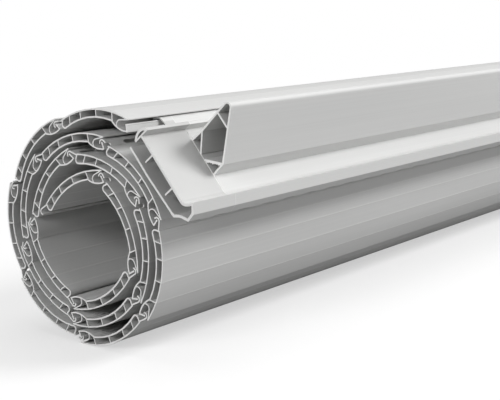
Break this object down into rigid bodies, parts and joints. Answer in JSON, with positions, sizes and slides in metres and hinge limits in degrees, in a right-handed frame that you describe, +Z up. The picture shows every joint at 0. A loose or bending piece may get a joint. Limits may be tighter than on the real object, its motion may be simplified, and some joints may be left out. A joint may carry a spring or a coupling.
{
  "type": "roller shutter curtain",
  "caption": "Roller shutter curtain of hollow hooked slats, rolled up, with a stop-carrying end bar hinged to its outer end.",
  "frame": {"origin": "bottom centre of the rolled curtain's bounding box", "axes": "+X along the slats, +Z up, -Y the side that the end bar and its stop face"},
  "size_m": [1, 0.1392, 0.1337],
  "materials": {
    "slat_plastic": "satin",
    "bar_plastic": "satin"
  },
  "bodies": {
    "end_bar": {"end_bar": "bar_plastic"},
    "slat_01": {"slat_01": "slat_plastic"},
    "slat_02": {"slat_02": "slat_plastic"},
    "slat_03": {"slat_03": "slat_plastic"},
    "slat_04": {"slat_04": "slat_plastic"},
    "slat_05": {"slat_05": "slat_plastic"},
    "slat_06": {"slat_06": "slat_plastic"},
    "slat_07": {"slat_07": "slat_plastic"},
    "slat_08": {"slat_08": "slat_plastic"},
    "slat_09": {"slat_09": "slat_plastic"},
    "slat_10": {"slat_10": "slat_plastic"},
    "slat_11": {"slat_11": "slat_plastic"},
    "slat_12": {"slat_12": "slat_plastic"},
    "slat_13": {"slat_13": "slat_plastic"},
    "slat_14": {"slat_14": "slat_plastic"},
    "slat_15": {"slat_15": "slat_plastic"},
    "slat_16": {"slat_16": "slat_plastic"},
    "slat_17": {"slat_17": "slat_plastic"},
    "slat_18": {"slat_18": "slat_plastic"}
  },
  "joints": [
    {"name": "bar_hinge", "type": "hinge", "parent": "slat_01", "child": "end_bar", "pos_m": [0, -0.0251, 0.12197], "axis": [-1, 0, 0], "range_deg": [0, 53.68]},
    {"name": "slat_02_hinge", "type": "hinge", "parent": "slat_01", "child": "slat_02", "pos_m": [0, 0.02677, 0.11834], "axis": [1, 0, 0], "range_deg": [0, 41.25]},
    {"name": "slat_03_hinge", "type": "hinge", "parent": "slat_02", "child": "slat_03", "pos_m": [0, 0.06338, 0.08141], "axis": [1, 0, 0], "range_deg": [0, 51.6]},
    {"name": "slat_04_hinge", "type": "hinge", "parent": "slat_03", "child": "slat_04", "pos_m": [0, 0.05717, 0.02978], "axis": [1, 0, 0], "range_deg": [0, 52.8]},
    {"name": "slat_05_hinge", "type": "hinge", "parent": "slat_04", "child": "slat_05", "pos_m": [0, 0.0123, 0.0035], "axis": [1, 0, 0], "range_deg": [0, 54.08]},
    {"name": "slat_06_hinge", "type": "hinge", "parent": "slat_05", "child": "slat_06", "pos_m": [0, -0.03531, 0.02443], "axis": [1, 0, 0], "range_deg": [0, 55.46]},
    {"name": "slat_07_hinge", "type": "hinge", "parent": "slat_06", "child": "slat_07", "pos_m": [0, -0.04507, 0.0755], "axis": [1, 0, 0], "range_deg": [0, 56.95]},
    {"name": "slat_08_hinge", "type": "hinge", "parent": "slat_07", "child": "slat_08", "pos_m": [0, -0.00758, 0.11154], "axis": [1, 0, 0], "range_deg": [0, 58.58]},
    {"name": "slat_09_hinge", "type": "hinge", "parent": "slat_08", "child": "slat_09", "pos_m": [0, 0.04271, 0.09833], "axis": [1, 0, 0], "range_deg": [0, 60.37]},
    {"name": "slat_10_hinge", "type": "hinge", "parent": "slat_09", "child": "slat_10", "pos_m": [0, 0.0561, 0.04808], "axis": [1, 0, 0], "range_deg": [0, 62.33]},
    {"name": "slat_11_hinge", "type": "hinge", "parent": "slat_10", "child": "slat_11", "pos_m": [0, 0.01782, 0.01289], "axis": [1, 0, 0], "range_deg": [0, 64.52]},
    {"name": "slat_12_hinge", "type": "hinge", "parent": "slat_11", "child": "slat_12", "pos_m": [0, -0.03042, 0.03231], "axis": [1, 0, 0], "range_deg": [0, 66.96]},
    {"name": "slat_13_hinge", "type": "hinge", "parent": "slat_12", "child": "slat_13", "pos_m": [0, -0.03144, 0.0843], "axis": [1, 0, 0], "range_deg": [0, 69.71]},
    {"name": "slat_14_hinge", "type": "hinge", "parent": "slat_13", "child": "slat_14", "pos_m": [0, 0.01697, 0.10328], "axis": [1, 0, 0], "range_deg": [0, 72.87]},
    {"name": "slat_15_hinge", "type": "hinge", "parent": "slat_14", "child": "slat_15", "pos_m": [0, 0.04938, 0.06261], "axis": [1, 0, 0], "range_deg": [0, 76.53]},
    {"name": "slat_16_hinge", "type": "hinge", "parent": "slat_15", "child": "slat_16", "pos_m": [0, 0.01737, 0.02163], "axis": [1, 0, 0], "range_deg": [0, 80.86]},
    {"name": "slat_17_hinge", "type": "hinge", "parent": "slat_16", "child": "slat_17", "pos_m": [0, -0.02818, 0.04672], "axis": [1, 0, 0], "range_deg": [0, 86.12]},
    {"name": "slat_18_hinge", "type": "hinge", "parent": "slat_17", "child": "slat_18", "pos_m": [0, -0.00622, 0.09386], "axis": [1, 0, 0], "range_deg": [0, 92.73]}
  ],
  "couplings": [
    {"joint": "slat_02_hinge", "follows": "slat_18_hinge", "ratio": 0.44485},
    {"joint": "slat_03_hinge", "follows": "slat_18_hinge", "ratio": 0.55649},
    {"joint": "slat_04_hinge", "follows": "slat_18_hinge", "ratio": 0.56934},
    {"joint": "slat_05_hinge", "follows": "slat_18_hinge", "ratio": 0.58315},
    {"joint": "slat_06_hinge", "follows": "slat_18_hinge", "ratio": 0.59804},
    {"joint": "slat_07_hinge", "follows": "slat_18_hinge", "ratio": 0.61418},
    {"joint": "slat_08_hinge", "follows": "slat_18_hinge", "ratio": 0.63176},
    {"joint": "slat_09_hinge", "follows": "slat_18_hinge", "ratio": 0.651},
    {"joint": "slat_10_hinge", "follows": "slat_18_hinge", "ratio": 0.6722},
    {"joint": "slat_11_hinge", "follows": "slat_18_hinge", "ratio": 0.69572},
    {"joint": "slat_12_hinge", "follows": "slat_18_hinge", "ratio": 0.72204},
    {"joint": "slat_13_hinge", "follows": "slat_18_hinge", "ratio": 0.75178},
    {"joint": "slat_14_hinge", "follows": "slat_18_hinge", "ratio": 0.7858},
    {"joint": "slat_15_hinge", "follows": "slat_18_hinge", "ratio": 0.8253},
    {"joint": "slat_16_hinge", "follows": "slat_18_hinge", "ratio": 0.87204},
    {"joint": "slat_17_hinge", "follows": "slat_18_hinge", "ratio": 0.92874}
  ]
}
